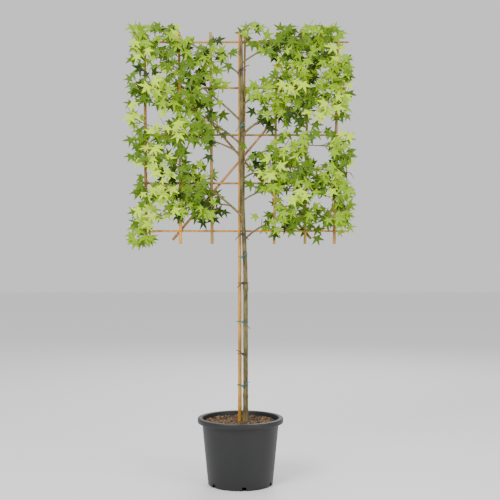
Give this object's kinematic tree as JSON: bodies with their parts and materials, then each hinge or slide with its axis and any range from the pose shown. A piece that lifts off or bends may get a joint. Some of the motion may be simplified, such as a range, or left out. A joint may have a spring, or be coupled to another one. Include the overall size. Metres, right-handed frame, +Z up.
{
  "type": "pleached sweetgum tree in a nursery pot",
  "caption": "Young pleached sweetgum with a clear stem and a flat square crown of star-shaped leaves, trained on a bamboo cane frame and tied to a stake in a black nursery pot.",
  "frame": {"origin": "middle of the flat underside of the pot, on the ground", "axes": "+Z up along the stem, +X to the right of someone who looks at the front of the cane frame, -Y out of the front of the frame"},
  "size_m": [1.3194, 0.485, 2.6208],
  "materials": {
    "pot_plastic": "satin",
    "compost": "rough",
    "bark": "rough",
    "young_bark": "rough",
    "bamboo": "satin",
    "tie_rubber": "matte",
    "leaf_green": "satin"
  },
  "bodies": {
    "root": {"pot": "pot_plastic", "soil": "compost", "trunk": "bark", "stake": "bamboo", "cane_upright_1": "bamboo", "cane_upright_2": "bamboo", "cane_upright_3": "bamboo", "cane_upright_4": "bamboo", "cane_upright_5": "bamboo", "cane_upright_6": "bamboo", "cane_upright_7": "bamboo", "cane_rail_1": "bamboo", "cane_rail_2": "bamboo", "cane_rail_3": "bamboo", "cane_rail_4": "bamboo", "cane_rail_5": "bamboo", "cane_brace_1": "bamboo", "cane_brace_2": "bamboo", "bough_left_1": "young_bark", "bough_left_2": "young_bark", "bough_left_3": "young_bark", "bough_left_4": "young_bark", "bough_left_5": "young_bark", "bough_left_6": "young_bark", "bough_left_7": "young_bark", "bough_right_1": "young_bark", "bough_right_2": "young_bark", "bough_right_3": "young_bark", "bough_right_4": "young_bark", "bough_right_5": "young_bark", "bough_right_6": "young_bark", "bough_right_7": "young_bark", "bough_right_8": "young_bark", "foliage_left_1": "leaf_green", "foliage_left_2": "leaf_green", "foliage_left_3": "leaf_green", "foliage_left_4": "leaf_green", "foliage_left_5": "leaf_green", "foliage_left_6": "leaf_green", "foliage_left_7": "leaf_green", "foliage_right_1": "leaf_green", "foliage_right_2": "leaf_green", "foliage_right_3": "leaf_green", "foliage_right_4": "leaf_green", "foliage_right_5": "leaf_green", "foliage_right_6": "leaf_green", "foliage_right_7": "leaf_green", "foliage_right_8": "leaf_green", "foliage_leader": "leaf_green", "tie_1": "tie_rubber", "tie_2": "tie_rubber", "tie_3": "tie_rubber", "tie_4": "tie_rubber", "tie_5": "tie_rubber", "tie_6": "tie_rubber", "tie_7": "tie_rubber", "tie_8": "tie_rubber"}
  },
  "joints": []
}
